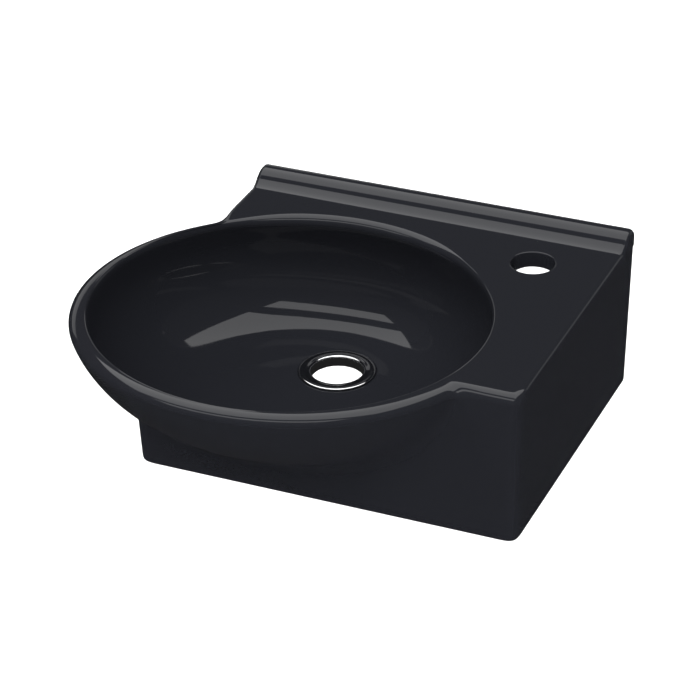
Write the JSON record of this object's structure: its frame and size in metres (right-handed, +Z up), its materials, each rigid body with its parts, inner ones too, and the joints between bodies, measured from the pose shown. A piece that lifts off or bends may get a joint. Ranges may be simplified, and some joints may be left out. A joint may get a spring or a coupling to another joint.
{
  "type": "wall-hung hand basin",
  "caption": "Compact black glazed wall-hung hand basin: oval bowl overhanging a boxy body, flat deck with open tap hole, raised back edge, chrome outlet ring, wall fixing sleeves.",
  "frame": {"origin": "midway between the two wall fixing holes, on the wall plane", "axes": "+X to the user's right as they face the basin, +Z up, the wall is the plane Y = 0 and the basin reaches out towards -Y"},
  "size_m": [0.3813, 0.3603, 0.1415],
  "materials": {
    "black_glaze": "glossy fired glaze, near black",
    "chrome": "bright chrome plate",
    "black_rubber": "matt moulded rubber",
    "white_nylon": "moulded nylon"
  },
  "bodies": {
    "root": {"basin_body": "black_glaze", "drain_ring": "chrome", "drain_seal": "black_rubber", "fixing_sleeve_left": "white_nylon", "fixing_sleeve_right": "white_nylon"}
  },
  "joints": []
}
